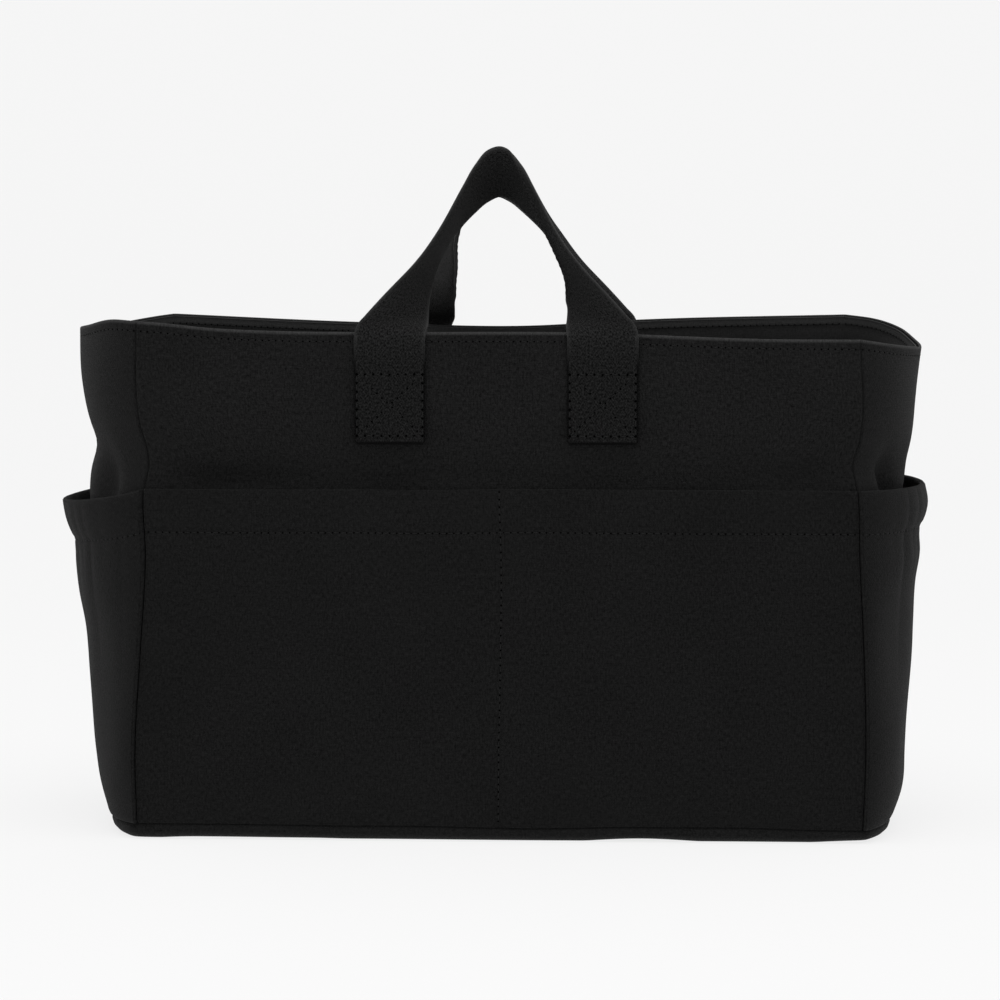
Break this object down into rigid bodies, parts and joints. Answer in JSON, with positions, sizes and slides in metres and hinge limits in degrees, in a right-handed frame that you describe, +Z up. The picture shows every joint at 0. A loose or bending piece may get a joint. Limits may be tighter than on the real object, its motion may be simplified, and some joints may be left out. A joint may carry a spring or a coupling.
{
  "type": "nursery changing bag",
  "caption": "Open-topped canvas tote for nursery goods, with a band of outside pockets all round, elasticated at the ends, and a pair of swinging webbing handles.",
  "frame": {"origin": "on the floor, under the middle of the bag's box", "axes": "+Z up, +X along the bag's length to the right seen from the front, the front faces -Y"},
  "size_m": [0.4842, 0.1786, 0.3705],
  "materials": {
    "canvas": "black cotton canvas, matt",
    "pocket_canvas": "black cotton canvas, matt, soft folds",
    "lining": "black lining cloth, smooth",
    "webbing": "black ribbed cotton webbing",
    "thread": "black sewing thread, slight sheen",
    "interlining": "felt",
    "elastic": "woven elastic",
    "backing": "stiff tape",
    "board": "pressed fibre board"
  },
  "bodies": {
    "bag": {"backing_back_left": "backing", "backing_back_right": "backing", "backing_front_left": "backing", "backing_front_right": "backing", "base_board": "board", "base_panel": "canvas", "box_stitch_back_left": "thread", "box_stitch_back_right": "thread", "box_stitch_front_left": "thread", "box_stitch_front_right": "thread", "divider_stitch_back": "thread", "divider_stitch_front": "thread", "elastic_left": "elastic", "elastic_right": "elastic", "gusset_left": "canvas", "gusset_right": "canvas", "handle_back_left_end": "webbing", "handle_back_right_end": "webbing", "handle_front_left_end": "webbing", "handle_front_right_end": "webbing", "interlining_back": "interlining", "interlining_front": "interlining", "lining_back": "lining", "lining_base": "lining", "lining_front": "lining", "lining_left": "lining", "lining_right": "lining", "panel_back": "canvas", "panel_front": "canvas", "pocket_back": "pocket_canvas", "pocket_front": "pocket_canvas", "pocket_left": "pocket_canvas", "pocket_right": "pocket_canvas", "rim_topstitch": "thread"},
    "handle_front_legs": {"handle_front_left_leg": "webbing", "handle_front_right_leg": "webbing"},
    "handle_back_legs": {"handle_back_left_leg": "webbing", "handle_back_right_leg": "webbing"},
    "handle_front_grip": {"handle_front_loop": "webbing"},
    "handle_back_grip": {"handle_back_loop": "webbing"}
  },
  "joints": [
    {"name": "handle_front_swing", "type": "hinge", "parent": "bag", "child": "handle_front_legs", "pos_m": [0, -0.08375, 0.2515], "axis": [1, 0, 0], "range_deg": [0, 172]},
    {"name": "handle_front_rim_bend", "type": "hinge", "parent": "handle_front_legs", "child": "handle_front_grip", "pos_m": [0, -0.08375, 0.276], "axis": [1, 0, 0], "range_deg": [0, 17.5]},
    {"name": "handle_back_swing", "type": "hinge", "parent": "bag", "child": "handle_back_legs", "pos_m": [0, 0.08375, 0.2515], "axis": [-1, 0, 0], "range_deg": [0, 172]},
    {"name": "handle_back_rim_bend", "type": "hinge", "parent": "handle_back_legs", "child": "handle_back_grip", "pos_m": [0, 0.08375, 0.276], "axis": [-1, 0, 0], "range_deg": [0, 17.5]}
  ],
  "couplings": [
    {"joint": "handle_front_rim_bend", "follows": "handle_front_swing", "ratio": 0.1},
    {"joint": "handle_back_rim_bend", "follows": "handle_back_swing", "ratio": 0.1}
  ]
}
